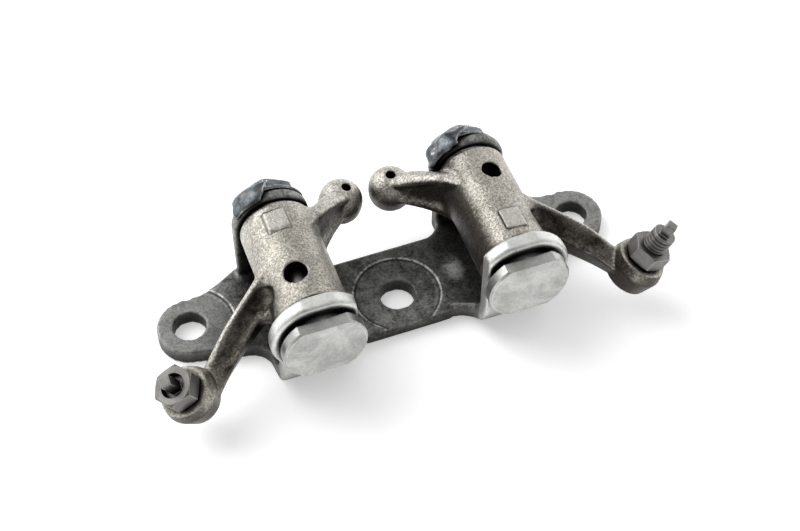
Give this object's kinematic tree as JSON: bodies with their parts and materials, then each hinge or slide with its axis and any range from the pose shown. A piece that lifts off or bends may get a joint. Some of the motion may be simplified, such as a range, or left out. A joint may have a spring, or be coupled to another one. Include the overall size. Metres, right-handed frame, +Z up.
{
  "type": "rocker arm assembly",
  "caption": "Flat bolt-down carrier plate with upturned ears, holding forged valve rockers on plain shafts, each with an adjuster screw and lock nut.",
  "frame": {"origin": "axis of the centre bolt hole at the plate's underside", "axes": "+X along the plate through both rockers, +Y towards the pushrod side and the shaft nuts, +Z up from the cylinder head"},
  "size_m": [0.1647, 0.0675, 0.043],
  "materials": {
    "plate": "mottled bare steel, worn bright on its edges",
    "forged_steel": "fine-grained forged steel, satin",
    "ground_steel": "ground, with faint stains",
    "hard_steel": "satin",
    "zinc_plate": "bright zinc with a blue cast",
    "bronze": "plain bearing bronze"
  },
  "bodies": {
    "carrier": {"base_plate": "plate", "shaft_left": "ground_steel", "thrust_washer_left_front": "ground_steel", "thrust_washer_left_rear": "ground_steel", "tab_washer_left": "zinc_plate", "shaft_nut_left": "zinc_plate", "shaft_right": "ground_steel", "thrust_washer_right_front": "ground_steel", "thrust_washer_right_rear": "ground_steel", "tab_washer_right": "zinc_plate", "shaft_nut_right": "zinc_plate"},
    "left_rocker": {"rocker_left": "forged_steel", "bush_left_front": "bronze", "bush_left_rear": "bronze"},
    "left_adjuster": {"adjuster_screw_left": "hard_steel"},
    "left_lock_nut": {"lock_nut_left": "hard_steel"},
    "right_rocker": {"rocker_right": "forged_steel", "bush_right_front": "bronze", "bush_right_rear": "bronze"},
    "right_adjuster": {"adjuster_screw_right": "hard_steel"},
    "right_lock_nut": {"lock_nut_right": "hard_steel"}
  },
  "joints": [
    {"name": "left_rocker_pivot", "type": "hinge", "parent": "carrier", "child": "left_rocker", "pos_m": [-0.0319, 0, 0.0288], "axis": [0, -1, 0], "range_deg": [-8, 5]},
    {"name": "left_adjuster_travel", "type": "slide", "parent": "left_rocker", "child": "left_adjuster", "axis": [-0.471, -0.075, 0.879], "range_m": [-0.002, 0.002]},
    {"name": "left_lock_nut_turn", "type": "hinge", "parent": "left_rocker", "child": "left_lock_nut", "pos_m": [-0.074, -0.021, 0.0199], "axis": [-0.471, -0.075, 0.879], "range_deg": [-30, 30]},
    {"name": "right_rocker_pivot", "type": "hinge", "parent": "carrier", "child": "right_rocker", "pos_m": [0.0319, 0, 0.0288], "axis": [0, 1, 0], "range_deg": [-8, 5]},
    {"name": "right_adjuster_travel", "type": "slide", "parent": "right_rocker", "child": "right_adjuster", "axis": [0.471, -0.075, 0.879], "range_m": [-0.002, 0.002]},
    {"name": "right_lock_nut_turn", "type": "hinge", "parent": "right_rocker", "child": "right_lock_nut", "pos_m": [0.0728, -0.0224, 0.0191], "axis": [0.471, -0.075, 0.879], "range_deg": [-30, 30]}
  ]
}
